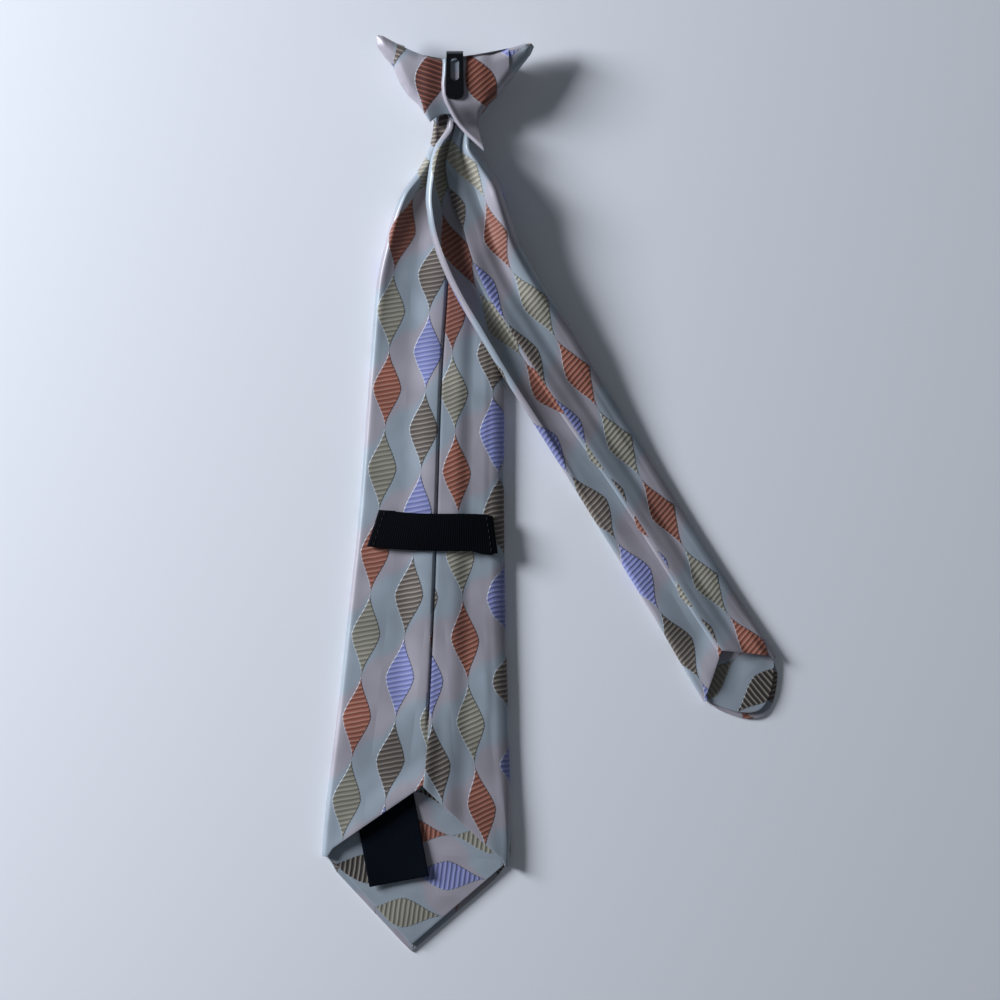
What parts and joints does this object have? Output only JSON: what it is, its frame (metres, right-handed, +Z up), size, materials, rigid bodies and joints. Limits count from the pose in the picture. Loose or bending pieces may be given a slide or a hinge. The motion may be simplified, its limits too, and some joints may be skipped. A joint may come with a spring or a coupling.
{
  "type": "clip-on necktie",
  "caption": "Pre-tied necktie lying face down: knot with wings and a bent metal clip, folded wide blade with keeper ribbon and label, and a narrow tail swung to one side.",
  "frame": {"origin": "middle of the tie's box, on the surface that it lies on", "axes": "+Y from the point of the wide blade to the knot, +X to the side that the tail swings to, +Z up, out of the tie's back"},
  "size_m": [0.1802, 0.3664, 0.0176],
  "materials": {
    "tie_cloth": "silver satin jacquard with stripes of ribbed lozenges in rust, cream, brown and lavender",
    "lining_cloth": "the same jacquard turned across",
    "label_satin": "dark navy woven satin, bare",
    "keeper_ribbon": "black satin ribbon",
    "clip_metal": "gloss black enamel on stamped steel"
  },
  "bodies": {
    "root": {"wide_blade": "tie_cloth", "blade_tip_lining": "lining_cloth", "care_label": "label_satin", "keeper_loop": "keeper_ribbon", "narrow_tail": "tie_cloth", "tail_tip_lining": "lining_cloth", "knot_wings": "tie_cloth", "knot_wrap": "tie_cloth", "clip": "clip_metal"}
  },
  "joints": []
}
